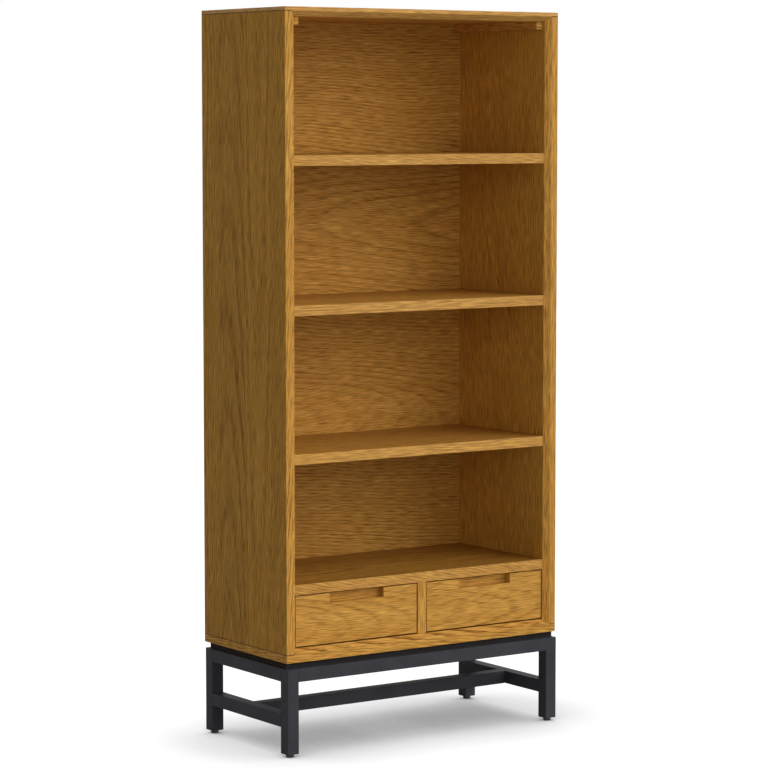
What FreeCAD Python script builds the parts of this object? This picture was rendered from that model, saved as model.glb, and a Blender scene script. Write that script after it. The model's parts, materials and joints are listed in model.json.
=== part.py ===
"""Bookcase: a bevelled oak carcass with three fixed shelves over two drawers, on a square-tube base.

Frame: X to the right, Y to the back, Z up, in millimetres. The origin is on the floor under the
middle of the whole piece. The drawers open towards -Y.
"""
import FreeCAD, Part
import os

V = FreeCAD.Vector

# ---------------------------------------------------------------- driving dimensions
overall_height = 1683.0   # from the floor to the top of the carcass

# Carcass
carcass_width = 762.0
carcass_depth = 355.6
side_flat = 18.5          # plain front width of the sides and the bottom, outside the bevel
top_flat = 9.0            # the same on the top
bevel = 12.0              # 45 degree bevel round the front opening, its width and its depth
arris = 1.0               # 45 degree easing of the carcass's four upright outer edges
board = 23.8              # shelves, drawer deck and divider
drawer_opening = 120.0    # clear height from the bottom to the deck
low_bay = 271.5           # clear heights between the boards, from the deck upwards; the top bay
middle_bay = 311.0        # has what is left
upper_bay = 311.0
housing = 6.0             # depth of the grooves that hold the ends of the boards
housing_stop = 14.0       # from the front edge of a board to the front end of its groove
housing_gap = 0.3         # between a board's tongue and the end and floor of its groove
back_sheet = 6.0
back_lap = 10.0           # how far the back panel laps the carcass all round
back_edge_gap = 0.5       # between the back panel's edges and its rebate

# Cleats under the top
cleat = 18.0              # square section
cleat_setback = 20.0      # from the carcass front to the cleat's end

# Black spacer between the carcass and the base
spacer_height = 14.0
spacer_width = 50.0
spacer_front_inset = 10.1   # from the carcass front, sides and back
spacer_side_inset = 3.3
spacer_back_inset = 21.4

# Base of square tube
tube = 30.0
tube_wall = 2.0
tube_edge_radius = 1.2
base_lead = 4.1           # how far the front of the base stands ahead of the carcass
base_back_inset = 4.1     # how far its back stands ahead of the carcass back
leg_length = 194.0
stretcher_height = 60.0   # from the leg ends to the underside of the stretchers
tab_width = 30.0          # fixing tabs inside the front and back rails
tab_sheet = 3.0
tab_margin = 13.0         # from a tab's screw to its free edge
tab_spread = 260.0        # outer tabs, from the middle

# Levelling feet
pad_radius = 9.0
pad_height = 7.5
stem_radius = 4.0
stem_length = 30.0
stem_gap = 0.1            # radial, in the plug's bore
plug_height = 16.0
plug_gap = 0.1            # between the plug and the inside of the tube

# Drawers
front_sheet = 18.0
front_side_gap = 2.6      # each side of a drawer front
front_top_gap = 2.5
front_bottom_gap = 2.7
front_recess = 1.5        # behind the front edges of the deck and the divider
notch_width = 148.0
notch_height = 22.5
box_wall = 12.0
box_height = 100.0
box_top_gap = 5.0         # from the deck down to the box
box_housing = 5.0         # rebates and grooves in the box sides
box_rear_gap = 12.0       # from the box to the back panel
box_bottom_sheet = 6.0
box_bottom_lift = 8.0     # from the box's lower edge to its bottom panel
groove_gap = 0.3          # between the bottom panel's edges and the groove floors

# Ball slides
slide_space = 12.7        # from the carcass wall to the drawer box
slide_height = 35.0
slide_sheet = 1.2
slide_end_gap = 3.0       # from each end of the box to the slide's ends
slide_side_gap = 1.7      # from the cabinet member's lips to the box
slide_travel = 215.0
race_space = 3.8          # height of each ball race, between the two members
cage_sheet = 0.6
cage_gap = 0.3            # all round the cage
cage_end_gap = 3.5        # from the cage to the slide's ends with the drawer open
lip_gap = 0.5             # from the cabinet member's lips to the drawer member

# Pan-head screws; each reach is the length under the head
screw_gap = 0.05          # radial
base_screw_radius = 2.5
base_screw_head_radius = 5.0
base_screw_head_height = 3.0
base_screw_reach = 29.0
front_screw_radius = 2.0
front_screw_head_radius = 4.0
front_screw_head_height = 2.4
front_screw_reach = 23.6
front_screw_spread = 105.0   # from the middle of a drawer

# ---------------------------------------------------------------- places worked out from them
side_board = side_flat + bevel
bottom_board = side_flat + bevel
top_board = top_flat + bevel
half_width = carcass_width / 2
inner_half = half_width - side_board

overall_depth = carcass_depth + base_lead
base_front = -overall_depth / 2
carcass_front = base_front + base_lead
carcass_back = carcass_front + carcass_depth
base_back = carcass_back - base_back_inset
boards_front = carcass_front + bevel
boards_back = carcass_back - back_sheet
groove_front = boards_front + housing_stop
spacer_front = carcass_front + spacer_front_inset
spacer_back = carcass_back - spacer_back_inset

leg_bottom = pad_height
base_top = leg_bottom + leg_length
carcass_bottom = base_top + spacer_height
bottom_top = carcass_bottom + bottom_board
deck_bottom = bottom_top + drawer_opening
deck_top = deck_bottom + board
lower_shelf_bottom = deck_top + low_bay
middle_shelf_bottom = lower_shelf_bottom + board + middle_bay
upper_shelf_bottom = middle_shelf_bottom + board + upper_bay
carcass_top = overall_height
top_underside = carcass_top - top_board
board_levels = (deck_bottom, lower_shelf_bottom, middle_shelf_bottom, upper_shelf_bottom)

opening_inner = board / 2
opening_width = inner_half - opening_inner
drawer_middle = opening_inner + opening_width / 2
box_width = opening_width - 2 * slide_space
front_face = boards_front + front_recess
box_front_face = front_face + front_sheet
box_back_face = boards_back - box_rear_gap
box_depth = box_back_face - box_front_face
box_top = deck_bottom - box_top_gap
box_bottom = box_top - box_height
slide_length = box_depth - 2 * slide_end_gap
slide_front = box_front_face + slide_end_gap
slide_level = (box_top + box_bottom) / 2
cage_length = slide_length - slide_travel - 2 * cage_end_gap


# ---------------------------------------------------------------- helpers
def box(x0, x1, y0, y1, z0, z1):
    return Part.makeBox(x1 - x0, y1 - y0, z1 - z0, V(x0, y0, z0))


def prism(points, y0, y1):
    """A closed outline of (x, z) points, run from y0 to y1."""
    corners = [V(x, y0, z) for x, z in points]
    face = Part.Face(Part.makePolygon(corners + corners[:1]))
    return face.extrude(V(0, y1 - y0, 0))


def rod(start, direction, radius, length):
    return Part.makeCylinder(radius, length, start, direction)


def mirrored(shape):
    return shape.mirror(V(0, 0, 0), V(1, 0, 0))


# ---------------------------------------------------------------- carcass
def front_opening():
    """The space that bevels the frame: it narrows by the bevel from the front face inwards."""
    wires = []
    for depth in (0, bevel):
        half = half_width - side_flat - depth
        low = carcass_bottom + side_flat + depth
        high = carcass_top - top_flat - depth
        y = carcass_front + depth
        corners = [V(-half, y, low), V(half, y, low), V(half, y, high), V(-half, y, high)]
        wires.append(Part.makePolygon(corners + corners[:1]))
    return Part.makeLoft(wires, True, True)


def carcass_block():
    """The outside of the carcass."""
    block = box(-half_width, half_width, carcass_front, carcass_back, carcass_bottom, carcass_top)
    uprights = [edge for edge in block.Edges if abs(edge.tangentAt(edge.FirstParameter).z) > 0.5]
    return block.makeChamfer(arris, uprights)


def back_rebate():
    half = inner_half + back_lap
    return box(-half, half, boards_back, carcass_back, bottom_top - back_lap, top_underside + back_lap)


def frame_panel(outline):
    """A full-depth panel of the frame, bevelled in front and rebated behind."""
    panel = prism(outline, carcass_front, carcass_back).common(carcass_block())
    return panel.cut(front_opening()).cut(back_rebate())


def side_panel():
    """The right side. Its ends are rebated mitres: flat outside, 45 degrees under the bevel."""
    shoulder = half_width - side_flat
    low = carcass_bottom + side_flat
    high = carcass_top - top_flat
    panel = frame_panel([
        (half_width, low), (shoulder, low), (inner_half, low + bevel),
        (inner_half, high - bevel), (shoulder, high), (half_width, high)])
    floor = inner_half + housing
    grooves = [box(inner_half, floor, groove_front, boards_back, z, z + board) for z in board_levels]
    return panel.cut(grooves)


def end_panel(outer, flat, inward):
    """The top or the bottom: outer is its outside face, inward is +1 or -1 along Z."""
    shoulder = half_width - side_flat
    step = outer + inward * flat
    inner = step + inward * bevel
    return frame_panel([
        (-half_width, outer), (half_width, outer), (half_width, step), (shoulder, step),
        (inner_half, inner), (-inner_half, inner), (-shoulder, step), (-half_width, step)])


def divider_groove(z0, z1):
    return box(-board / 2, board / 2, groove_front, boards_back, z0, z1)


def top_panel():
    return end_panel(carcass_top, top_flat, -1)


def bottom_panel():
    panel = end_panel(carcass_bottom, side_flat, 1)
    return panel.cut([divider_groove(bottom_top - housing, bottom_top)] + base_screw_holes())


def shelf(level):
    """A fixed board between the sides, its ends tongued into their grooves."""
    reach = inner_half + housing - housing_gap
    plain = box(-inner_half, inner_half, boards_front, boards_back, level, level + board)
    tongues = box(-reach, reach, groove_front + housing_gap, boards_back, level, level + board)
    return plain.fuse(tongues).removeSplitter()


def drawer_deck():
    return shelf(deck_bottom).cut(divider_groove(deck_bottom, deck_bottom + housing))


def drawer_divider():
    reach = housing - housing_gap
    plain = box(-board / 2, board / 2, boards_front, boards_back, bottom_top, deck_bottom)
    tongues = box(-board / 2, board / 2, groove_front + housing_gap, boards_back,
                  bottom_top - reach, deck_bottom + reach)
    return plain.fuse(tongues).removeSplitter()


def back_panel():
    half = inner_half + back_lap - back_edge_gap
    low = bottom_top - back_lap + back_edge_gap
    high = top_underside + back_lap - back_edge_gap
    return box(-half, half, boards_back, carcass_back, low, high)


def top_cleat():
    """The right-hand batten in the corner under the top."""
    low = top_underside - cleat
    return box(inner_half - cleat, inner_half, carcass_front + cleat_setback, boards_back, low, top_underside)


# ---------------------------------------------------------------- spacer
def spacer_strips():
    """Four strips: front and back run full width, the sides fit between them."""
    half = half_width - spacer_side_inset
    inside_front = spacer_front + spacer_width
    inside_back = spacer_back - spacer_width
    inside = half - spacer_width
    plans = {
        "spacer_front": (-half, half, spacer_front, inside_front),
        "spacer_back": (-half, half, inside_back, spacer_back),
        "spacer_left": (-half, -inside, inside_front, inside_back),
        "spacer_right": (inside, half, inside_front, inside_back)}
    holes = base_screw_holes()
    return {name: box(*plan, base_top, carcass_bottom).cut(holes) for name, plan in plans.items()}


# ---------------------------------------------------------------- base
def tube_between(low, high, axis, cap=0.0):
    """A square tube with rounded long edges, along axis, that fills the box from low to high.

    With a cap, that thickness closes its far end.
    """
    size = high - low
    outer = Part.makeBox(size.x, size.y, size.z, low)
    along = V(*axis)
    edges = [edge for edge in outer.Edges if abs(edge.tangentAt(edge.FirstParameter).dot(along)) > 0.5]
    outer = outer.makeFillet(tube_edge_radius, edges)
    wall = (V(1, 1, 1) - along) * tube_wall
    inside = size - wall * 2 - along * cap
    return outer.cut(Part.makeBox(inside.x, inside.y, inside.z, low + wall))


def leg(side, y0):
    """side is -1 for the left and 1 for the right."""
    x0 = -half_width if side < 0 else half_width - tube
    return tube_between(V(x0, y0, leg_bottom), V(x0 + tube, y0 + tube, base_top), (0, 0, 1), tube_wall)


def base_frame():
    """Legs, top rails, side stretchers and the long stretcher that joins them."""
    inside = half_width - tube
    front = base_front + tube
    back = base_back - tube
    rail_low = base_top - tube
    bar_low = leg_bottom + stretcher_height
    bar_high = bar_low + tube
    middle = (base_front + base_back) / 2
    across = (1, 0, 0)
    deep = (0, 1, 0)
    return {
        "front_left_leg": leg(-1, base_front),
        "front_right_leg": leg(1, base_front),
        "back_left_leg": leg(-1, back),
        "back_right_leg": leg(1, back),
        "front_rail": tube_between(V(-inside, base_front, rail_low), V(inside, front, base_top), across),
        "back_rail": tube_between(V(-inside, back, rail_low), V(inside, base_back, base_top), across),
        "left_rail": tube_between(V(-half_width, front, rail_low), V(-inside, back, base_top), deep),
        "right_rail": tube_between(V(inside, front, rail_low), V(half_width, back, base_top), deep),
        "left_stretcher": tube_between(V(-half_width, front, bar_low), V(-inside, back, bar_high), deep),
        "right_stretcher": tube_between(V(inside, front, bar_low), V(half_width, back, bar_high), deep),
        "long_stretcher": tube_between(V(-inside, middle - tube / 2, bar_low),
                                       V(inside, middle + tube / 2, bar_high), across)}


def tab_rows():
    """For the front and the back tabs: the rail face that they start from and their screws' line."""
    return [(base_front + tube, spacer_front + spacer_width / 2),
            (base_back - tube, spacer_back - spacer_width / 2)]


def base_screw_places():
    """Where each base screw's head meets its tab: three in front and three at the back."""
    seat = base_top - tab_sheet
    return [V(x, line, seat) for x in (-tab_spread, 0, tab_spread) for _, line in tab_rows()]


def fixing_tabs():
    holes = base_screw_holes()
    tabs = []
    for x in (-tab_spread, 0, tab_spread):
        for rail, line in tab_rows():
            edge = line + tab_margin if line > rail else line - tab_margin
            tabs.append(box(x - tab_width / 2, x + tab_width / 2, min(rail, edge), max(rail, edge),
                            base_top - tab_sheet, base_top).cut(holes))
    return tabs


def base_screws():
    """Screws up through the tabs and the spacer into the bottom."""
    screws = []
    for seat in base_screw_places():
        head = rod(seat, V(0, 0, -1), base_screw_head_radius, base_screw_head_height)
        shank = rod(seat, V(0, 0, 1), base_screw_radius, base_screw_reach)
        screws.append(head.fuse(shank).removeSplitter())
    return screws


def base_screw_holes():
    radius = base_screw_radius + screw_gap
    reach = base_screw_reach + screw_gap
    return [rod(seat, V(0, 0, 1), radius, reach) for seat in base_screw_places()]


def leg_axes():
    """Name and middle of each leg."""
    x = half_width - tube / 2
    return {
        "front_left": (-x, base_front + tube / 2), "front_right": (x, base_front + tube / 2),
        "back_left": (-x, base_back - tube / 2), "back_right": (x, base_back - tube / 2)}


def leg_plugs():
    """Square plugs in the leg ends, bored for the feet."""
    half = tube / 2 - tube_wall - plug_gap
    plugs = []
    for x, y in leg_axes().values():
        block = box(x - half, x + half, y - half, y + half, leg_bottom, leg_bottom + plug_height)
        plugs.append(block.cut(rod(V(x, y, leg_bottom), V(0, 0, 1), stem_radius + stem_gap, plug_height)))
    return plugs


def foot(x, y):
    """A round pad on the floor and the stem that screws into the plug."""
    pad = rod(V(x, y, 0), V(0, 0, 1), pad_radius, pad_height)
    stem = rod(V(x, y, pad_height), V(0, 0, 1), stem_radius, stem_length)
    return pad.fuse(stem).removeSplitter()


# ---------------------------------------------------------------- drawers, drawn about their middle
def drawer_front():
    half = opening_width / 2 - front_side_gap
    top = deck_bottom - front_top_gap
    plain = box(-half, half, front_face, box_front_face, bottom_top + front_bottom_gap, top)
    notch = box(-notch_width / 2, notch_width / 2, front_face, box_front_face, top - notch_height, top)
    return plain.cut([notch] + front_screw_holes())


def box_bottom_panel(gap):
    """The bottom panel; with no gap, the grooves that take it."""
    half = box_width / 2 - box_wall + box_housing - gap
    front = box_front_face + box_wall - box_housing + gap
    back = box_back_face - box_wall + box_housing - gap
    low = box_bottom + box_bottom_lift
    return box(-half, half, front, back, low, low + box_bottom_sheet)


def box_end(y0):
    """The front or the back of the box: it sits in rebates at the ends of the sides."""
    half = box_width / 2 - box_wall + box_housing
    return box(-half, half, y0, y0 + box_wall, box_bottom, box_top).cut(box_bottom_panel(0))


def box_side():
    """The right side of the box, rebated at both ends and grooved for the bottom."""
    outer = box_width / 2
    inner = outer - box_wall
    lip = inner + box_housing
    plain = box(inner, outer, box_front_face, box_back_face, box_bottom, box_top)
    rebates = [box(inner, lip, y0, y0 + box_wall, box_bottom, box_top)
               for y0 in (box_front_face, box_back_face - box_wall)]
    return plain.cut(rebates + [box_bottom_panel(0)])


def front_screw_places():
    """Where each front screw's head meets the inside of the box front."""
    seat = box_front_face + box_wall
    return [V(x, seat, slide_level) for x in (-front_screw_spread, front_screw_spread)]


def front_screws():
    """Screws through the box front into the drawer front."""
    screws = []
    for seat in front_screw_places():
        head = rod(seat, V(0, 1, 0), front_screw_head_radius, front_screw_head_height)
        shank = rod(seat, V(0, -1, 0), front_screw_radius, front_screw_reach)
        screws.append(head.fuse(shank).removeSplitter())
    return screws


def front_screw_holes():
    radius = front_screw_radius + screw_gap
    reach = front_screw_reach + screw_gap
    return [rod(seat, V(0, -1, 0), radius, reach) for seat in front_screw_places()]


# ---------------------------------------------------------------- ball slides
# Outlines are (t, z): t from the carcass wall towards the drawer box, z from the slide's middle.
lip_inner = slide_space - slide_side_gap - slide_sheet
half_slide = slide_height / 2
race_top = half_slide - slide_sheet
member_half = race_top - race_space
cage_web = slide_sheet + cage_gap
member_near = cage_web + cage_sheet + cage_gap


def both_edges(upper):
    """An outline from its upper half, which starts and ends at the same t as its mirror image."""
    return upper + [(t, -z) for t, z in reversed(upper)]


def cabinet_member_outline():
    """A channel with lips that turn back over the drawer member."""
    return both_edges([
        (0, half_slide), (lip_inner + slide_sheet, half_slide),
        (lip_inner + slide_sheet, member_half + lip_gap), (lip_inner, member_half + lip_gap),
        (lip_inner, race_top), (slide_sheet, race_top)])


def drawer_member_outline():
    """A channel that opens towards the cabinet member."""
    inner = member_half - slide_sheet
    return both_edges([
        (slide_space, member_half), (member_near, member_half), (member_near, inner),
        (slide_space - slide_sheet, inner)])


def cage_outline():
    """A light web between the members, with a ball retainer along each race."""
    tip = lip_inner - cage_gap
    outer = race_top - cage_gap
    inner = member_half + cage_gap
    return both_edges([(cage_web, outer), (tip, outer), (tip, inner), (cage_web + cage_sheet, inner)])


def slide_parts(outline, y0, y1):
    """A member or cage for each wall of an opening, drawn about the drawer's middle."""
    wall = opening_width / 2
    right = prism([(wall - t, slide_level + z) for t, z in outline], y0, y1)
    return [mirrored(right), right]


def cabinet_members():
    return slide_parts(cabinet_member_outline(), slide_front, slide_front + slide_length)


def drawer_members():
    return slide_parts(drawer_member_outline(), slide_front, slide_front + slide_length)


def ball_cages():
    start = slide_front + (slide_length - cage_length) / 2
    return slide_parts(cage_outline(), start, start + cage_length)


# ---------------------------------------------------------------- the whole piece
def moved(shape, x):
    copy = shape.copy()
    copy.translate(V(x, 0, 0))
    return copy


def drawer(side):
    """All nodes of one drawer: side is -1 for the left one and 1 for the right one."""
    right_wall = box_side()
    pieces = {
        "drawer_front": [drawer_front()],
        "box_front": [box_end(box_front_face).cut(front_screw_holes())],
        "box_back": [box_end(box_back_face - box_wall)],
        "box_left_side": [mirrored(right_wall)],
        "box_right_side": [right_wall],
        "box_bottom": [box_bottom_panel(groove_gap)],
        "front_screws": front_screws(),
        "drawer_members": drawer_members(),
        "ball_cages": ball_cages(),
        "cabinet_members": cabinet_members()}
    name = "left" if side < 0 else "right"
    shift = side * drawer_middle
    return {f"{name}_{piece}": [moved(s, shift) for s in shapes] for piece, shapes in pieces.items()}


def all_nodes():
    """Every node's name, with the list of its solids."""
    right_side = side_panel()
    right_cleat = top_cleat()
    nodes = {
        "top_panel": top_panel(),
        "bottom_panel": bottom_panel(),
        "left_side_panel": mirrored(right_side),
        "right_side_panel": right_side,
        "back_panel": back_panel(),
        "upper_shelf": shelf(upper_shelf_bottom),
        "middle_shelf": shelf(middle_shelf_bottom),
        "lower_shelf": shelf(lower_shelf_bottom),
        "drawer_deck": drawer_deck(),
        "drawer_divider": drawer_divider(),
        "left_top_cleat": mirrored(right_cleat),
        "right_top_cleat": right_cleat}
    nodes.update(spacer_strips())
    nodes.update(base_frame())
    for name, (x, y) in leg_axes().items():
        nodes[f"{name}_foot"] = foot(x, y)
    nodes = {name: [shape] for name, shape in nodes.items()}
    nodes["fixing_tabs"] = fixing_tabs()
    nodes["leg_plugs"] = leg_plugs()
    nodes["base_screws"] = base_screws()
    nodes.update(drawer(-1))
    nodes.update(drawer(1))
    return nodes


def main():
    os.makedirs("parts", exist_ok=True)
    for name, shapes in all_nodes().items():
        solids = [solid for shape in shapes for solid in shape.Solids]
        body = solids[0] if len(solids) == 1 else Part.makeCompound(solids)
        body.exportStep(f"parts/{name}.step")
        print(f"{name:24s} {len(solids):3d} solids  {body.Volume / 1000:10.1f} cm3  valid {body.isValid()}")


main()
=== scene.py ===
import json
import math

import bmesh
import bpy
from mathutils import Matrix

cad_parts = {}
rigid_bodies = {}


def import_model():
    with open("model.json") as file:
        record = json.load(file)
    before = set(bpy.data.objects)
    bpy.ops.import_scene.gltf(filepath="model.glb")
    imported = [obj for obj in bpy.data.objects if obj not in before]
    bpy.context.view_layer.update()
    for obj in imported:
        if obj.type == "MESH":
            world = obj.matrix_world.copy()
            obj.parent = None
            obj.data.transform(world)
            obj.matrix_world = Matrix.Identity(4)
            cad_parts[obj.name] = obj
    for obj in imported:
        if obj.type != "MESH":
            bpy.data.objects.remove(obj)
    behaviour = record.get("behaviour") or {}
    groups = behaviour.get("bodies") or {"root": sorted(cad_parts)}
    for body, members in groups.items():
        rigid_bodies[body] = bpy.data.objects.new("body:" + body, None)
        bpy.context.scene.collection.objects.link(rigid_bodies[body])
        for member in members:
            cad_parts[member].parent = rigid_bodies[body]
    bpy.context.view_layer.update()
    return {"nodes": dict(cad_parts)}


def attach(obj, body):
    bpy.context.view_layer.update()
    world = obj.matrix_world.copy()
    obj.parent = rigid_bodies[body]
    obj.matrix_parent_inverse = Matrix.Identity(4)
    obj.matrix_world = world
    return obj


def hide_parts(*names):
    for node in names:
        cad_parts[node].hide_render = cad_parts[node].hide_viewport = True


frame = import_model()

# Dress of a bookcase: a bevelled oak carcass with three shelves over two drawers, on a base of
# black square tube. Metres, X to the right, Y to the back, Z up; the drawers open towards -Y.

MM = 0.001
WHITE = (1, 1, 1, 1)


# ---------------------------------------------------------------- writing finishes as expressions
class Wire:
    """An output of a node in a recipe; arithmetic on it adds Math nodes."""

    def __init__(self, recipe, socket):
        self.recipe = recipe
        self.socket = socket

    def __add__(self, other):
        return self.recipe.math("ADD", self, other)

    __radd__ = __add__

    def __sub__(self, other):
        return self.recipe.math("SUBTRACT", self, other)

    def __rsub__(self, other):
        return self.recipe.math("SUBTRACT", other, self)

    def __mul__(self, other):
        return self.recipe.math("MULTIPLY", self, other)

    __rmul__ = __mul__

    def __truediv__(self, other):
        return self.recipe.math("DIVIDE", self, other)

    def __rtruediv__(self, other):
        return self.recipe.math("DIVIDE", other, self)

    def __abs__(self):
        return self.recipe.math("ABSOLUTE", self)


class Recipe:
    """The nodes of one finish, of the sky or of a way to lay out small parts."""

    def __init__(self, tree):
        self.tree = tree
        tree.nodes.clear()

    def node(self, kind, settings=None, sockets=None, out=0):
        """Adds a node: first its settings, then the value or link of each socket. out is the name
        or the number of the output that is wanted, or None for all of them."""
        made = self.tree.nodes.new(kind)
        for name, value in (settings or {}).items():
            setattr(made, name, value)
        for key, value in (sockets or {}).items():
            if isinstance(value, Wire):
                self.tree.links.new(value.socket, made.inputs[key])
            else:
                made.inputs[key].default_value = value
        if out is None:
            return [Wire(self, socket) for socket in made.outputs]
        return Wire(self, made.outputs[out]) if made.outputs else None

    def math(self, operation, *operands):
        return self.node("ShaderNodeMath", {"operation": operation}, dict(enumerate(operands)))

    def above(self, value, edge):
        """1 where the value is over the edge, 0 elsewhere."""
        return self.math("GREATER_THAN", value, edge)

    def rise(self, value, low, high):
        """0 below low, 1 above high and a smooth step between them."""
        return self.node("ShaderNodeMapRange", {"interpolation_type": "SMOOTHSTEP"},
                         {"Value": value, "From Min": low, "From Max": high})

    def place(self):
        """Where a point of the piece lies, in metres."""
        return self.node("ShaderNodeTexCoord", out="Object")

    def facing(self):
        """Which way the surface faces there."""
        return self.node("ShaderNodeTexCoord", out="Normal")

    def apart(self, vector):
        """The X, Y and Z of a vector."""
        return self.node("ShaderNodeSeparateXYZ", None, {0: vector}, out=None)

    def together(self, x, y, z):
        return self.node("ShaderNodeCombineXYZ", None, {0: x, 1: y, 2: z})

    def noise(self, place, detail, scale=1.0):
        """Smooth noise from 0 to 1 with about scale features to the unit; place is a vector or its
        three parts."""
        vector = self.together(*place) if isinstance(place, tuple) else place
        return self.node("ShaderNodeTexNoise", None,
                         {"Vector": vector, "Scale": scale, "Detail": detail})

    def drawn_noise(self, fineness, detail):
        """Noise with a fineness of its own along X, Y and Z, in features to the metre."""
        parts = zip(self.apart(self.place()), fineness)
        return self.noise(tuple(part * fine for part, fine in parts), detail)

    def blend(self, factor, first, second, way="MIX"):
        """From the first colour at 0 to the second, or to their product, at 1."""
        return self.node("ShaderNodeMix", {"data_type": "RGBA", "blend_type": way},
                         {0: factor, 6: first, 7: second}, out=2)

    def bump(self, height, depth):
        return self.node("ShaderNodeBump", None,
                         {"Strength": 1.0, "Distance": depth, "Height": height})

    def surface(self, **sockets):
        """Ends a finish with one Principled shader; an underscore stands for a space."""
        named = {key.replace("_", " "): value for key, value in sockets.items()}
        shader = self.node("ShaderNodeBsdfPrincipled", None, named)
        self.node("ShaderNodeOutputMaterial", None, {"Surface": shader})


def between(low, high, mask):
    """Goes from low where the mask is 0 to high where it is 1."""
    return low + (high - low) * mask


def finish(name):
    """A new material and the recipe that fills it."""
    material = bpy.data.materials.new(name)
    material.use_nodes = True
    return material, Recipe(material.node_tree)


def paint(red, green, blue):
    """A colour from its eight-bit display values, straightened from the display's curve as shaders
    want it."""
    linear = []
    for level in (red, green, blue):
        share = level / 255
        linear.append(share / 12.92 if share <= 0.04045 else ((share + 0.055) / 1.055) ** 2.4)
    return (*linear, 1.0)


# ---------------------------------------------------------------- oak
OAK_PALE = paint(208, 157, 76)
OAK_WARM = paint(192, 139, 61)
OAK_PORE = paint(106, 65, 20)
CLEAR_WOOD = 1.37             # the brightness of those colours where no fibre dulls them
FIBRE_SHADE = 0.24            # what the fibres take off it
OAK_ROUGHNESS = 0.42          # of clear wood
PORE_ROUGHNESS = 0.64         # of the darkest marks
PORE_DEPTH = 0.1 * MM

# Lengths and widths of the marks along the grain; each stands for a bundle of the real ones
FIBRE_LENGTH = 60 * MM
FIBRE_WIDTH = 2.1 * MM
PORE_LENGTH = 32 * MM
PORE_WIDTH = 1.5 * MM
STREAK_LENGTH = 0.4
STREAK_WIDTH = 20 * MM
# The noise at which each begins to show, and at which it shows in full
FIBRE_RANGE = (0.36, 0.70)
PORE_RANGE = (0.36, 0.68)
STREAK_RANGE = (0.1, 0.9)
# How dark each shows, from clear wood at 0 to OAK_PORE at 1
RING_MARK = 0.45
FIBRE_MARK = 0.22
PORE_MARK = 0.47
RING_WARMTH = 0.2             # how much of a streak's warmth a ring has
SUMMER_PORES = 0.8            # how dark pores are outside the spring wood, against 1 inside it

# How often the grain bends in a metre, how often each ring ripples and how often the rings fade
BENDS_ALONG = 2.4
BENDS_ACROSS = 4.0
RIPPLES_ALONG = 14.0
RIPPLES_ACROSS = 70.0
FADES_ALONG = 9.0
FADES_ACROSS = 16.0
SWAY = 50 * MM                # how far the bends take the grain sideways
SWAY_DEPTH = SWAY * 0.15      # and into the board
RIPPLE = 3 * MM               # how far the ripples move a ring
FADE_RANGE = (0.25, 0.6)

SPRING_PEAK = 0.12            # the share of a year's growth at which its pores are thickest
SPRING_END = 0.62             # and at which they are back to the few of summer
FLANK = 0.4                   # the slant of the cut to the rings from which they show in full
FAINT_HEART = 0.4             # how strongly they show where the cut has no slant
FAINT_YEAR = 0.5              # in the faintest years
FAINT_FADE = 0.6              # and where they fade most
LOG_STEP = 5.3                # from the seed of one leaf to that of the next

SQUARE_ON = 0.8               # a face looks along an axis when that much of its facing does
CORNER_JOINTS = (0.234, 1.674)       # heights of the joints between the sides and the ends
JOINT_REACH = 0.3625                 # they show on the outside only, further out than this
JOINT_LINE = (0.5 * MM, 2.0 * MM)    # darkest as near as the first, gone from the second on
JOINT_DARKNESS = 0.6


class Leaf:
    """One leaf of veneer: how its grain runs and how the knife went through the rings."""

    def __init__(self, edge=0.0, heart=0.0, depth=0.06, taper=0.03, slope=0.0, ring=7 * MM,
                 figure=0.4, tone=1.0):
        self.edge = edge      # where the leaf begins across the grain; the first one's isn't used
        self.heart = heart    # the middle line of its figure
        self.depth = depth    # from the face to the middle of the log, at the origin
        self.taper = taper    # how fast that depth grows along the grain
        self.slope = slope    # how fast the grain falls across the board
        self.ring = ring      # a year's growth
        self.figure = figure  # how strongly the rings show
        self.tone = tone      # brightness


def by_leaf(steps, values):
    """The value that holds in whichever leaf a point lies."""
    total = values[0]
    for step, low, high in zip(steps, values, values[1:]):
        if high != low:
            total = step * (high - low) + total
    return total


def year_rings(recipe, cut, log, u, v, w):
    """How far a point is in the spring wood, and how darkly the rings mark it. u runs along the
    grain, v across it and w into the board; cut has the values of the leaf."""
    ripple = recipe.noise((u * RIPPLES_ALONG + log, v * RIPPLES_ACROSS, w * RIPPLES_ACROSS),
                          detail=2.0)
    off = v - cut["heart"]
    down = cut["depth"] + cut["taper"] * u + w
    radius = recipe.math("SQRT", off * off + down * down)
    count = (radius + (ripple - 0.5) * RIPPLE) / cut["ring"]
    turn = recipe.math("FRACT", count)
    spring = (recipe.rise(turn, 0.0, SPRING_PEAK)
              * (1.0 - recipe.rise(turn, SPRING_PEAK, SPRING_END)))
    year = recipe.node("ShaderNodeTexWhiteNoise", {"noise_dimensions": "1D"},
                       {"W": count - turn + log})
    fades = recipe.noise((u * FADES_ALONG + log, v * FADES_ACROSS, w * FADES_ACROSS), detail=1.0)
    slant = recipe.rise(abs(off / radius), 0.0, FLANK)
    rings = (spring * between(FAINT_YEAR, 1.0, year * year)
             * between(FAINT_FADE, 1.0, recipe.rise(fades, *FADE_RANGE))
             * between(FAINT_HEART, 1.0, slant) * cut["figure"])
    return spring, rings


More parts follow.
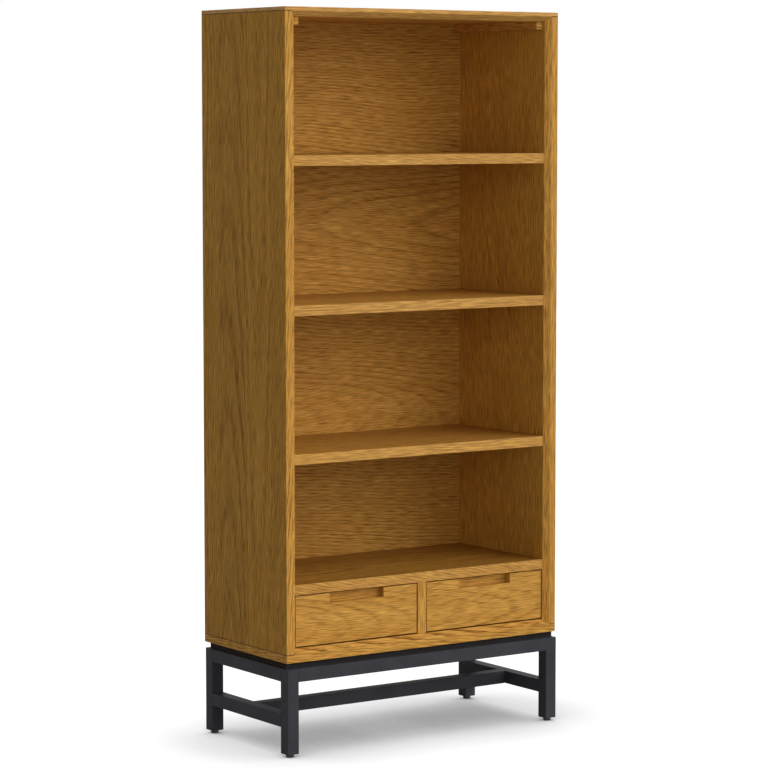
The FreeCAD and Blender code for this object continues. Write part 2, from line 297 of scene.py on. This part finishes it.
def oak(name, grain, leaves, seed, dive=0.0, faces=(1.0, 1.0, 1.0), gloss=0.06, joints=(),
        bevel_light=1.0):
    """Oiled oak. grain has the letters of the axis along the grain and the axis across the figure;
    dive is the grain's slope on the board's narrow edges; faces tones its two broad faces in red,
    green and blue, partly as the wood's own tone and partly as painted shade; bevel is painted
    light on its bevelled edge where it is over 1 and painted shade where it is under 1; joints are
    the heights at which the frame's panels meet at its corners. The ends are banded with strips of
    their own, which run along the end."""
    material, recipe = finish(name)
    at = dict(zip("XYZ", recipe.apart(recipe.place())))
    facing = dict(zip("XYZ", recipe.apart(recipe.facing())))
    along, across = grain
    through = next(axis for axis in "XYZ" if axis not in grain)
    ends, sides, broad = (recipe.above(abs(facing[axis]), SQUARE_ON)
                          for axis in (along, across, through))
    off_ends = 1.0 - ends
    off_sides = 1.0 - sides
    off_broad = 1.0 - broad

    steps = [recipe.above(at[across], leaf.edge) for leaf in leaves[1:]]
    cut = {key: by_leaf(steps, [getattr(leaf, key) for leaf in leaves])
           for key in ("heart", "depth", "taper", "slope", "ring", "figure", "tone")}
    log = by_leaf(steps, [seed + LOG_STEP * number for number in range(len(leaves))])

    u = at[along] + ends * (at[across] - at[along])
    bend = recipe.noise((u * BENDS_ALONG + log, at[across] * BENDS_ACROSS,
                         at[through] * BENDS_ACROSS), detail=1.0) - 0.5
    v = (at[across] * off_ends + cut["slope"] * u + bend * SWAY) * off_sides
    w = (at[through] + dive * u + bend * SWAY_DEPTH) * off_broad

    spring, rings = year_rings(recipe, cut, log, u, v, w)
    fibres = recipe.noise((u / FIBRE_LENGTH + log, v / FIBRE_WIDTH, w / FIBRE_WIDTH), detail=0.0)
    pores = recipe.noise((u / PORE_LENGTH, v / PORE_WIDTH + log, w / PORE_WIDTH), detail=0.0)
    streaks = recipe.noise((u / STREAK_LENGTH, v / STREAK_WIDTH + log, w / STREAK_WIDTH),
                           detail=1.0)
    bundles = recipe.rise(fibres, *FIBRE_RANGE)
    dashes = recipe.rise(pores, *PORE_RANGE) * between(SUMMER_PORES, 1.0, spring)
    marks = rings * RING_MARK + bundles * FIBRE_MARK + dashes * PORE_MARK
    dark = recipe.math("MINIMUM", marks, 1.0)
    warmth = recipe.rise(streaks + rings * RING_WARMTH, *STREAK_RANGE)
    marked = recipe.blend(dark, recipe.blend(warmth, OAK_PALE, OAK_WARM), OAK_PORE)

    # the bevelled faces, which bevel brightens with painted light over 1 and darkens with painted
    # shade under 1
    bevelled = off_broad * off_sides * off_ends
    glow = (CLEAR_WOOD - fibres * FIBRE_SHADE) * cut["tone"] * between(1.0, bevel_light, bevelled)
    for height in joints:
        line = 1.0 - recipe.rise(abs(at["Z"] - height), *JOINT_LINE)
        outside = recipe.above(abs(at["X"]), JOINT_REACH)
        glow = glow * (1.0 - JOINT_DARKNESS * line * outside)
    # the broad faces take the tones of faces, partly the wood's own tone and partly painted shade
    shade = recipe.together(*(glow * between(1.0, share, broad) for share in faces))
    recipe.surface(Base_Color=recipe.blend(1.0, marked, shade, "MULTIPLY"),
                   Roughness=between(OAK_ROUGHNESS, PORE_ROUGHNESS, dark),
                   Specular_IOR_Level=gloss, Normal=recipe.bump(1.0 - dark, PORE_DEPTH))
    return material


# ---------------------------------------------------------------- other finishes
SPACER_BROWN_AND_SHADE = paint(40, 35, 31)
SPACER_GREY = paint(54, 54, 57)
SPACER_SHADED_END = 0.5              # a face of the spacer is an end when that much of its facing is on X; the ends get painted shade
COAT_DARK = paint(60, 60, 65)
COAT_PALE = paint(67, 67, 72)
PLASTIC_DARK = paint(24, 24, 26)
PLASTIC_PALE = paint(34, 34, 36)
ZINC_DARK = paint(176, 180, 184)
ZINC_PALE = paint(202, 205, 208)
CAGE_DARK = paint(150, 152, 150)
CAGE_PALE = paint(176, 178, 176)


def black_wood():
    """Matt black paint over the spacer's wood, with painted shade on its ends, which are browner
    and darker than its front and back.
    """
    material, recipe = finish("black_wood")
    end = recipe.above(abs(recipe.apart(recipe.facing())[0]), SPACER_SHADED_END)
    grain = recipe.drawn_noise((12.0, 160.0, 260.0), detail=2.0)
    # painted shade: the ends are pulled towards the darker brown
    recipe.surface(Base_Color=recipe.blend(grain - end, SPACER_BROWN_AND_SHADE, SPACER_GREY),
                   Roughness=between(0.6, 0.7, grain), Specular_IOR_Level=0.02,
                   Normal=recipe.bump(grain, depth=0.1 * MM))
    return material


def black_steel():
    """Charcoal powder coat with its fine orange peel."""
    material, recipe = finish("black_steel")
    peel = recipe.noise(recipe.place(), detail=2.0, scale=900.0)
    cloud = recipe.noise(recipe.place(), detail=3.0, scale=14.0)
    recipe.surface(Base_Color=recipe.blend(recipe.rise(cloud, 0.3, 0.7), COAT_DARK, COAT_PALE),
                   Roughness=between(0.42, 0.54, peel), Specular_IOR_Level=0.05,
                   Normal=recipe.bump(peel, depth=0.06 * MM))
    return material


def black_plastic():
    """Moulded plastic with a fine spark texture."""
    material, recipe = finish("black_plastic")
    spark = recipe.noise(recipe.place(), detail=1.0, scale=1600.0)
    recipe.surface(Base_Color=recipe.blend(spark, PLASTIC_DARK, PLASTIC_PALE),
                   Roughness=between(0.5, 0.65, spark), Normal=recipe.bump(spark, depth=0.04 * MM))
    return material


def zinc_steel():
    """Bright zinc plate, rolled lengthways, with cloudy spangle."""
    material, recipe = finish("zinc_steel")
    rolled = recipe.drawn_noise((900.0, 25.0, 900.0), detail=1.0)
    cloud = recipe.noise(recipe.place(), detail=2.0, scale=60.0)
    recipe.surface(Base_Color=recipe.blend(recipe.rise(cloud, 0.35, 0.65), ZINC_DARK, ZINC_PALE),
                   Metallic=1.0, Roughness=between(0.26, 0.40, rolled),
                   Normal=recipe.bump(rolled, depth=0.01 * MM))
    return material


def cage_steel():
    """Plain steel of the ball cages, duller than the zinc plate."""
    material, recipe = finish("cage_steel")
    cloud = recipe.noise(recipe.place(), detail=2.0, scale=120.0)
    recipe.surface(Base_Color=recipe.blend(recipe.rise(cloud, 0.35, 0.65), CAGE_DARK, CAGE_PALE),
                   Metallic=1.0, Roughness=between(0.34, 0.44, cloud))
    return material


# ---------------------------------------------------------------- small parts in rows
def row_tree():
    """Lays a row of one part from each vertex of the piece that carries it, each part's own Z axis
    along the vertex's facing."""
    tree = bpy.data.node_groups.new("rows of one part", "GeometryNodeTree")
    kinds = {"Starts": "Geometry", "Part": "Object", "Count": "Int", "Step": "Vector",
             "Finish": "Material"}
    sockets = {name: tree.interface.new_socket(name, in_out="INPUT",
                                               socket_type=f"NodeSocket{kind}")
               for name, kind in kinds.items()}
    tree.interface.new_socket("Parts", in_out="OUTPUT", socket_type="NodeSocketGeometry")
    recipe = Recipe(tree)
    given = dict(zip(kinds, recipe.node("NodeGroupInput", out=None)))
    line = recipe.node("GeometryNodeMeshLine", {"mode": "OFFSET"},
                       {"Count": given["Count"], "Offset": given["Step"]})
    rows = recipe.node("GeometryNodeInstanceOnPoints", None,
                       {"Points": given["Starts"], "Instance": line})
    places = recipe.node("GeometryNodeRealizeInstances", None, {"Geometry": rows})
    facing = recipe.node("GeometryNodeInputNamedAttribute", {"data_type": "FLOAT_VECTOR"},
                         {"Name": "facing"})
    turn = recipe.node("FunctionNodeAlignRotationToVector", {"axis": "Z"}, {"Vector": facing})
    part = recipe.node("GeometryNodeObjectInfo", None, {"Object": given["Part"]}, out="Geometry")
    parts = recipe.node("GeometryNodeInstanceOnPoints", None,
                        {"Points": places, "Instance": part, "Rotation": turn})
    joined = recipe.node("GeometryNodeRealizeInstances", None, {"Geometry": parts})
    finished = recipe.node("GeometryNodeSetMaterial", None,
                           {"Geometry": joined, "Material": given["Finish"]})
    recipe.node("NodeGroupOutput", None, {0: finished})
    return tree, {name: socket.identifier for name, socket in sockets.items()}


def plain(piece):
    """What a piece with its modifiers looks like, as a mesh without them."""
    depsgraph = bpy.context.evaluated_depsgraph_get()
    return bpy.data.meshes.new_from_object(piece.evaluated_get(depsgraph))


def rows_of(part, starts, finish_used, count=1, step=(0.0, 0.0, 0.0)):
    """A mesh of count parts from each start, which is a place and the way the parts face there."""
    carrier_mesh = bpy.data.meshes.new("starts")
    carrier_mesh.from_pydata([place for place, facing in starts], [], [])
    facings = carrier_mesh.attributes.new("facing", "FLOAT_VECTOR", "POINT")
    for number, (place, facing) in enumerate(starts):
        facings.data[number].vector = facing
    carrier = bpy.data.objects.new("rows", carrier_mesh)
    sample = bpy.data.objects.new("sample", part)
    bpy.context.scene.collection.objects.link(carrier)
    layer = carrier.modifiers.new("rows", "NODES")
    layer.node_group, keys = ROW_TREE
    given = {"Part": sample, "Count": count, "Step": step, "Finish": finish_used}
    for name, value in given.items():
        layer[keys[name]] = value
    mesh = plain(carrier)
    bpy.data.objects.remove(carrier)
    bpy.data.objects.remove(sample)
    return mesh


def cut_away(mesh, cutter):
    """The first mesh less the second."""
    piece = bpy.data.objects.new("piece", mesh)
    tool = bpy.data.objects.new("tool", cutter)
    bpy.context.scene.collection.objects.link(piece)
    cut = piece.modifiers.new("cut", "BOOLEAN")
    cut.operation = "DIFFERENCE"
    cut.solver = "EXACT"
    cut.object = tool
    result = plain(piece)
    bpy.data.objects.remove(piece)
    bpy.data.objects.remove(tool)
    return result


def turned(name, profile, sides=20):
    """A closed turned shape about Z. profile has (radius, height) from the axis at the top to the
    axis at the bottom."""
    shape = bmesh.new()
    rings = []
    for radius, height in profile:
        spokes = sides if radius else 1
        turns = [math.tau * number / spokes for number in range(spokes)]
        rings.append([shape.verts.new((radius * math.cos(turn), radius * math.sin(turn), height))
                      for turn in turns])
    for upper, lower in zip(rings, rings[1:]):
        for number in range(sides):
            here = number % len(upper), number % len(lower)
            there = (number + 1) % len(upper), (number + 1) % len(lower)
            corners = (upper[here[0]], lower[here[1]], lower[there[1]], upper[there[0]])
            shape.faces.new(dict.fromkeys(corners))
    mesh = bpy.data.meshes.new(name)
    shape.to_mesh(mesh)
    shape.free()
    return mesh


HEAD_RIM = 0.1 * MM           # the straight rim of a sunk head
SUNK_TAPER = 0.5              # its radius below, as a share of that at the rim
# The curve of a domed head, in shares of its radius and of its height
DOME = ((0, 1), (0.45, 0.96), (0.8, 0.74), (1, 0.3), (1, 0))
RECESS_DEPTH = 0.55           # of a cross recess, as a share of the head's height
RECESS_REACH = 0.6            # from its middle to an arm's end, as a share of the head's radius
RECESS_ARM = 0.13             # half an arm's width, as a share of the same
RECESS_TAPER = 0.6            # its size at the bottom, as a share of that at the top
RECESS_CLEARANCE = 0.3        # how far its tool stands out of it, as a share of its depth


def cross_recess(top, depth, reach, arm):
    """The tool that cuts a cross recess: narrower below than at the top, which it clears."""
    outline = [(reach, arm), (arm, arm), (arm, reach)]
    outline += ([(-y, x) for x, y in outline] + [(-x, -y) for x, y in outline]
                + [(y, -x) for x, y in outline])
    levels = ((1.0, top + depth * RECESS_CLEARANCE), (RECESS_TAPER, top - depth))
    points = [(x * taper, y * taper, level) for taper, level in levels for x, y in outline]
    count = len(outline)
    upper = tuple(range(count))
    lower = tuple(range(count, 2 * count))
    walls = [(n, lower[n], lower[(n + 1) % count], (n + 1) % count) for n in upper]
    mesh = bpy.data.meshes.new("cross")
    mesh.from_pydata(points, [], [upper, *walls, lower[::-1]])
    return mesh


def screw_head(radius, height, sunk):
    """A cross-recessed head; its seat is at Z 0. A sunk one tapers below its seat, the others are
    domed."""
    if sunk:
        top = 0.0
        profile = [(0, 0), (radius, 0), (radius, -HEAD_RIM), (radius * SUNK_TAPER, -height),
                   (0, -height)]
    else:
        top = height
        profile = [(radius * out, height * up) for out, up in DOME] + [(0, 0)]
    recess = cross_recess(top, height * RECESS_DEPTH, radius * RECESS_REACH, radius * RECESS_ARM)
    return cut_away(turned("screw_head", profile), recess)


def add_rows(name, body, mesh):
    """Shows a mesh of rows as a piece that moves with a body."""
    piece = bpy.data.objects.new(name, mesh)
    bpy.context.scene.collection.objects.link(piece)
    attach(piece, body)


# ---------------------------------------------------------------- screws and balls
BACK_FACE = 179.85 * MM       # the outside of the back panel
# Its screws, in millimetres: up each side, then across the ends, the shelves and the divider
SIDE_SCREWS_OUT = 355.2
SIDE_SCREWS_FROM = 262
SIDE_SCREWS_STEP = 198
SIDE_SCREWS = 8
END_SCREW_HEIGHTS = (241.2, 1666.8)
END_SCREWS_OUT = (-240, 0, 240)
SHELF_SCREW_HEIGHTS = (377.9, 673.2, 1008.0, 1342.8)
SHELF_SCREWS_OUT = (-200, 0, 200)
DIVIDER_SCREW_HEIGHT = 306
HEAD_SUNK = 0.25 * MM         # how far their heads lie below its face
# The cone of the countersinks under them, and how far its tool stands out of it
SINK_RADIUS = 3.9 * MM
SINK_END_RADIUS = 1.4 * MM
SINK_DEPTH = 2.4 * MM
SINK_CLEARANCE = 0.5 * MM

CLEAT_SCREWS = 3              # in each cleat, from below
CLEAT_SCREWS_OUT = 341.5 * MM
CLEAT_SCREWS_FRONT = -120 * MM
CLEAT_SCREWS_STEP = 130 * MM
CLEAT_BOTTOM = 1644 * MM

SLIDE_LEVEL = 311 * MM        # the middle line of the drawer slides
SLIDE_WALLS = {               # where each drawer's slides are fixed, and the way into its opening
    "left": ((-350.5 * MM, 1), (-11.9 * MM, -1)),
    "right": ((11.9 * MM, 1), (350.5 * MM, -1))}
SLIDE_SCREWS = 3              # in each member
CABINET_SCREWS_IN = 1.33 * MM         # from the wall to the tops of their heads
CABINET_SCREWS_FRONT = -121 * MM
CABINET_SCREWS_STEP = 125 * MM
DRAWER_SCREWS_IN = 11.5 * MM          # from the wall to the seats of their heads
DRAWER_SCREWS_FRONT = -106 * MM
DRAWER_SCREWS_STEP = 120 * MM
BALL_RADIUS = 1.85 * MM
BALL_RINGS = 8
BALLS_A_ROW = 8
BALLS_IN = 5.5 * MM
BALLS_FRONT = -24.1 * MM
BALLS_STEP = 9.4 * MM
RACES = (-14.4, 14.4)         # from the slides' middle line, in millimetres


def back_screw_places(sunk):
    """Around the back panel, into the shelves and into the divider, sunk below its face."""
    places = [(side * SIDE_SCREWS_OUT, SIDE_SCREWS_FROM + SIDE_SCREWS_STEP * number)
              for side in (-1, 1) for number in range(SIDE_SCREWS)]
    places += [(x, z) for z in END_SCREW_HEIGHTS for x in END_SCREWS_OUT]
    places += [(x, z) for z in SHELF_SCREW_HEIGHTS for x in SHELF_SCREWS_OUT]
    places.append((0.0, DIVIDER_SCREW_HEIGHT))
    return [((x * MM, BACK_FACE - sunk, z * MM), (0, 1, 0)) for x, z in places]


def fit_screws(steel):
    """Cross-recessed screws of the back panel, the top's cleats and the slides."""
    sunk_head = screw_head(radius=3.3 * MM, height=2.0 * MM, sunk=True)
    thin_head = screw_head(radius=3.4 * MM, height=0.9 * MM, sunk=True)
    domed_head = screw_head(radius=3.0 * MM, height=1.4 * MM, sunk=False)
    add_rows("back_screws", "carcass",
             rows_of(sunk_head, back_screw_places(HEAD_SUNK), steel))
    cleats = [((side * CLEAT_SCREWS_OUT, CLEAT_SCREWS_FRONT, CLEAT_BOTTOM), (0, 0, -1))
              for side in (-1, 1)]
    add_rows("cleat_screws", "carcass",
             rows_of(domed_head, cleats, steel, CLEAT_SCREWS, (0, CLEAT_SCREWS_STEP, 0)))
    fixed = [((wall + way * CABINET_SCREWS_IN, CABINET_SCREWS_FRONT, SLIDE_LEVEL), (way, 0, 0))
             for walls in SLIDE_WALLS.values() for wall, way in walls]
    add_rows("cabinet_member_screws", "carcass",
             rows_of(thin_head, fixed, steel, SLIDE_SCREWS, (0, CABINET_SCREWS_STEP, 0)))
    for side, walls in SLIDE_WALLS.items():
        moving = [((wall + way * DRAWER_SCREWS_IN, DRAWER_SCREWS_FRONT, SLIDE_LEVEL), (-way, 0, 0))
                  for wall, way in walls]
        add_rows(f"{side}_drawer_member_screws", f"{side}_drawer",
                 rows_of(domed_head, moving, steel, SLIDE_SCREWS, (0, DRAWER_SCREWS_STEP, 0)))


def fit_balls(steel):
    """The balls in both races of each cage."""
    turns = [math.pi * number / BALL_RINGS for number in range(1, BALL_RINGS)]
    profile = [(BALL_RADIUS * math.sin(turn), BALL_RADIUS * math.cos(turn)) for turn in turns]
    ball = turned("ball", [(0, BALL_RADIUS), *profile, (0, -BALL_RADIUS)], sides=12)
    for side, walls in SLIDE_WALLS.items():
        starts = [((wall + way * BALLS_IN, BALLS_FRONT, SLIDE_LEVEL + race * MM), (0, 0, 1))
                  for wall, way in walls for race in RACES]
        mesh = rows_of(ball, starts, steel, BALLS_A_ROW, (0, BALLS_STEP, 0))
        mesh.shade_smooth()
        add_rows(f"{side}_balls", f"{side}_cages", mesh)


# ---------------------------------------------------------------- dressing the model's own nodes
OAK_EDGE = 0.6 * MM           # what sanding takes off the sharp edges
BOX_EDGE = 0.5 * MM
SANDED_FROM = math.radians(40)        # the least turn of an edge that is sanded
ONE_FACE_TO = math.radians(0.5)       # the greatest turn between triangles of one flat face
ONE_POINT_TO = 1e-6                   # the greatest distance between corners of one point


def body_of(node):
    return frame["nodes"][node].parent.name.split(":", 1)[1]


def dress(node, material):
    """Gives a node that stays as it is its finish."""
    mesh = frame["nodes"][node].data
    mesh.materials.clear()
    mesh.materials.append(material)


def eased(node, material, radius, holes=None):
    """A copy of a node with its sharp edges sanded to radius, shown in its place; one with holes is
    left sharp."""
    mesh = frame["nodes"][node].data.copy()
    shape = bmesh.new()
    shape.from_mesh(mesh)
    bmesh.ops.remove_doubles(shape, verts=shape.verts, dist=ONE_POINT_TO)
    bmesh.ops.dissolve_limit(shape, angle_limit=ONE_FACE_TO, verts=shape.verts, edges=shape.edges)
    shape.to_mesh(mesh)
    shape.free()
    if holes:
        mesh = cut_away(mesh, holes)
    mesh.materials.clear()
    mesh.materials.append(material)
    mesh.shade_flat()
    piece = bpy.data.objects.new(f"{node}_eased", mesh)
    bpy.context.scene.collection.objects.link(piece)
    if not holes:
        edges = piece.modifiers.new("sanded edges", "BEVEL")
        edges.width = radius
        edges.segments = 2
        edges.limit_method = "ANGLE"
        edges.angle_limit = SANDED_FROM
        edges.harden_normals = True
    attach(piece, body_of(node))
    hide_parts(node)


def outer_boards():
    """The oak of the top, the bottom, the sides and the back, by node."""
    left_leaves = [
        Leaf(heart=-0.30, depth=0.08, taper=0.02, slope=0.16, figure=0.7, tone=1.03),
        Leaf(edge=-0.114, heart=-0.06, depth=0.16, taper=-0.012, figure=0.7, tone=1.05),
        Leaf(edge=-0.004, heart=0.071, depth=0.06, taper=0.06, ring=13 * MM, figure=0.85,
             tone=0.96),
        Leaf(edge=0.106, heart=0.30, depth=0.12, taper=0.02, slope=0.05, figure=0.7, tone=1.03)]
    right_leaves = [
        Leaf(heart=-0.30, depth=0.12, taper=0.02),
        Leaf(edge=-0.047, heart=0.20, depth=0.12, taper=0.02, slope=-0.13, tone=0.98),
        Leaf(edge=0.057, heart=0.30, depth=0.12, taper=0.02, slope=-0.01)]
    back_leaves = [
        Leaf(heart=0.30, depth=0.10, taper=0.05, slope=0.05, figure=0.8, tone=0.9),
        Leaf(edge=0.673, heart=0.725, depth=0.16, taper=0.085, figure=0.6),
        Leaf(edge=1.008, heart=1.185, depth=0.15, taper=-0.06, ring=9 * MM, figure=0.6),
        Leaf(edge=1.343, heart=1.31, depth=0.08, taper=0.08, figure=0.8)]
    top_leaf = Leaf(heart=0.03, tone=1.03)
    bottom_leaf = Leaf(heart=-0.02, figure=1.6, tone=1.05)
    return {
        # painted shade: bevel darkens the top's bevelled edge, which faces down and forward
        "top_panel": oak("oak_top", "XY", [top_leaf], seed=3.1, gloss=0.25,
                         joints=CORNER_JOINTS, bevel_light=0.86),
        # painted shade: faces darkens the bottom's broad faces, whose top shows only in the shade
        # inside the drawer openings
        "bottom_panel": oak("oak_bottom", "XY", [bottom_leaf], seed=11.7, dive=0.06,
                            faces=(0.5, 0.45, 0.4), joints=CORNER_JOINTS),
        # faces darkens the side and takes blue from it, partly the wood's own tone and partly
        # painted shade of the side turned from the key lamp
        "left_side_panel": oak("oak_left_side", "ZY", left_leaves, seed=5.3, dive=-0.1,
                               faces=(0.88, 0.86, 0.62), joints=CORNER_JOINTS),
        # painted shade: faces takes blue from the inside face, which is seen in shade in the bays;
        # painted light: bevel brightens the bevelled edge
        "right_side_panel": oak("oak_right_side", "ZY", right_leaves, seed=21.9,
                                faces=(0.98, 1.0, 0.86), joints=CORNER_JOINTS, bevel_light=1.17),
        "back_panel": oak("oak_back", "XZ", back_leaves, seed=8.2)}


def inner_boards():
    """The oak of the shelves, the deck, the divider and the drawer fronts, by node."""
    # the tops of the shelves and of the deck are darkened through faces, partly as the wood's own
    # tone and partly as painted shade
    shelf_top_tone_and_shade = (0.79, 0.75, 0.65)
    left_leaf = Leaf(heart=0.285, depth=0.13, taper=0.085, figure=0.6)
    right_leaf = Leaf(heart=0.29, depth=0.07, taper=0.085, figure=0.6)
    return {
        "upper_shelf": oak("oak_upper_shelf", "XY", [Leaf(heart=0.05, tone=0.96)], seed=31.0,
                           dive=0.05, faces=shelf_top_tone_and_shade, gloss=0.2),
        "middle_shelf": oak("oak_middle_shelf", "XY", [Leaf(heart=0.02, tone=0.94)], seed=37.5,
                            faces=(0.88, 0.83, 0.71), gloss=0.2),
        "lower_shelf": oak("oak_lower_shelf", "XY", [Leaf()], seed=43.3,
                           faces=shelf_top_tone_and_shade, gloss=0.2),
        "drawer_deck": oak("oak_deck", "XY", [Leaf(heart=-0.03, figure=1.9)], seed=49.1, dive=0.2,
                           faces=(0.70, 0.66, 0.50), gloss=0.2),
        "drawer_divider": oak("oak_divider", "ZY", [Leaf()], seed=53.7),
        "left_drawer_front": oak("oak_left_front", "XZ", [left_leaf], seed=62.3),
        "right_drawer_front": oak("oak_right_front", "XZ", [right_leaf], seed=68.9)}


def dress_oak():
    """Every oak board with its own cut."""
    sink = turned("sink", [(0, SINK_CLEARANCE), (SINK_RADIUS, SINK_CLEARANCE),
                           (SINK_END_RADIUS, -SINK_DEPTH), (0, -SINK_DEPTH)])
    for node, material in (outer_boards() | inner_boards()).items():
        holes = rows_of(sink, back_screw_places(0.0), material) if node == "back_panel" else None
        eased(node, material, OAK_EDGE, holes)
    batten = oak("oak_batten", "YX", [Leaf()], seed=71.2)
    for node in ("left_top_cleat", "right_top_cleat"):
        eased(node, batten, OAK_EDGE)


def dress_boxes():
    """The drawer boxes, grain level on every wall."""
    ends = oak("drawer_box_ends", "XZ", [Leaf(heart=0.2)], seed=81.6)
    walls = oak("drawer_box_sides", "YZ", [Leaf(heart=0.2)], seed=87.1)
    floors = oak("drawer_box_bottoms", "XY", [Leaf()], seed=93.4)
    pieces = {"box_front": ends, "box_back": ends, "box_left_side": walls, "box_right_side": walls,
              "box_bottom": floors}
    for side in ("left", "right"):
        for node, material in pieces.items():
            eased(f"{side}_{node}", material, BOX_EDGE)


def dress_rest():
    """The spacer, the base, the feet and the steel of the slides and screws."""
    spacer = black_wood()
    for side in ("front", "back", "left", "right"):
        dress(f"spacer_{side}", spacer)
    coat = black_steel()
    plastic = black_plastic()
    for corner in ("front_left", "front_right", "back_left", "back_right"):
        dress(f"{corner}_leg", coat)
        dress(f"{corner}_foot", plastic)
    for bar in ("front_rail", "back_rail", "left_rail", "right_rail", "left_stretcher",
                "right_stretcher", "long_stretcher", "fixing_tabs"):
        dress(bar, coat)
    dress("leg_plugs", plastic)
    zinc = zinc_steel()
    cage = cage_steel()
    dress("base_screws", zinc)
    for side in ("left", "right"):
        for node in ("front_screws", "drawer_members", "cabinet_members"):
            dress(f"{side}_{node}", zinc)
        dress(f"{side}_ball_cages", cage)
    fit_screws(zinc)
    fit_balls(cage)


# ---------------------------------------------------------------- light, floor and camera
SKY_LEVEL = 0.17              # what the sky gives matt surfaces
LAMPS = {                     # level on a surface turned to it, turn, rise and spread
    "key": (0.70, 40.0, 28.0, 65.0),
    "fill": (0.23, -30.0, 0.0, 60.0)}
FLOOR_REACH = 12.0            # from the middle to each side
FLOOR_GREY = (0.6, 0.6, 0.6, 1)      # the floor as it lights the object from below
SHADOW_REACH = 0.33           # how far from the object its shadow on the floor goes
SHADOW_LIFT = 1.1             # leaves the shadow's outer part as white as the bare floor
SHADOW_SAMPLES = 16           # looks up from each point of the floor
LENS = 139.86                 # in millimetres, before a sensor of the width below
SENSOR = 36.0
EYE = (-3.9552, -5.7508, 1.4449)
EYE_DOWN = 5.159              # degrees below the horizon
EYE_RIGHT = 34.556            # degrees from straight ahead to the right


def seen_directly(recipe):
    """1 for rays that show the surroundings themselves: to the camera, off a gloss or through
    glass."""
    camera_ray, glossy_ray, glass_ray = (
        recipe.node("ShaderNodeLightPath", out=name)
        for name in ("Is Camera Ray", "Is Glossy Ray", "Is Transmission Ray"))
    return recipe.math("MAXIMUM", recipe.math("MAXIMUM", camera_ray, glossy_ray), glass_ray)


def sky():
    """Soft light on the object from all round, behind a white background."""
    world = bpy.data.worlds.new("sky")
    bpy.context.scene.world = world
    world.use_nodes = True
    recipe = Recipe(world.node_tree)
    soft, white = (recipe.node("ShaderNodeBackground", None, {"Color": WHITE, "Strength": level})
                   for level in (SKY_LEVEL, 1.0))
    mixed = recipe.node("ShaderNodeMixShader", None, {0: seen_directly(recipe), 1: soft, 2: white})
    recipe.node("ShaderNodeOutputWorld", None, {"Surface": mixed})


def lamps():
    """Broad soft lamps; the turn is in degrees from straight ahead towards +X, the rise above the
    horizon."""
    for name, (level, turn, rise, spread) in LAMPS.items():
        light = bpy.data.lights.new(name, "SUN")
        light.energy = level * math.pi
        light.angle = math.radians(spread)
        lamp = bpy.data.objects.new(name, light)
        bpy.context.scene.collection.objects.link(lamp)
        lamp.rotation_euler = (math.radians(90 - rise), 0, math.radians(turn))


def floor():
    """White to the eye, with a painted shadow: its glow is darker where the object shuts out the
    light above it. Other rays see it as matt grey.
    """
    mesh = bpy.data.meshes.new("floor")
    corners = [(x * FLOOR_REACH, y * FLOOR_REACH, 0)
               for x, y in ((-1, -1), (1, -1), (1, 1), (-1, 1))]
    mesh.from_pydata(corners, [], [(0, 1, 2, 3)])
    material, recipe = finish("floor")
    open_sky = recipe.node("ShaderNodeAmbientOcclusion", {"samples": SHADOW_SAMPLES},
                           {"Distance": SHADOW_REACH})
    # painted shadow: the glow is as bright as the share of open sky above each point of the floor
    white = recipe.node("ShaderNodeEmission", None, {"Color": open_sky, "Strength": SHADOW_LIFT})
    matt = recipe.node("ShaderNodeBsdfDiffuse", None, {"Color": FLOOR_GREY})
    mixed = recipe.node("ShaderNodeMixShader", None, {0: seen_directly(recipe), 1: matt, 2: white})
    recipe.node("ShaderNodeOutputMaterial", None, {"Surface": mixed})
    mesh.materials.append(material)
    ground = bpy.data.objects.new("floor", mesh)
    bpy.context.scene.collection.objects.link(ground)


def camera():
    """Looks from the front left, from a little over the upper shelf's height."""
    lens = bpy.data.cameras.new("camera")
    lens.sensor_width = SENSOR
    lens.lens = LENS
    lens.clip_end = 100.0
    eye = bpy.data.objects.new("camera", lens)
    bpy.context.scene.collection.objects.link(eye)
    eye.location = EYE
    eye.rotation_euler = (math.radians(90 - EYE_DOWN), 0, math.radians(-EYE_RIGHT))
    bpy.context.scene.camera = eye


bpy.context.scene.view_settings.view_transform = "Standard"
ROW_TREE = row_tree()
camera()
sky()
lamps()
floor()
dress_oak()
dress_boxes()
dress_rest()
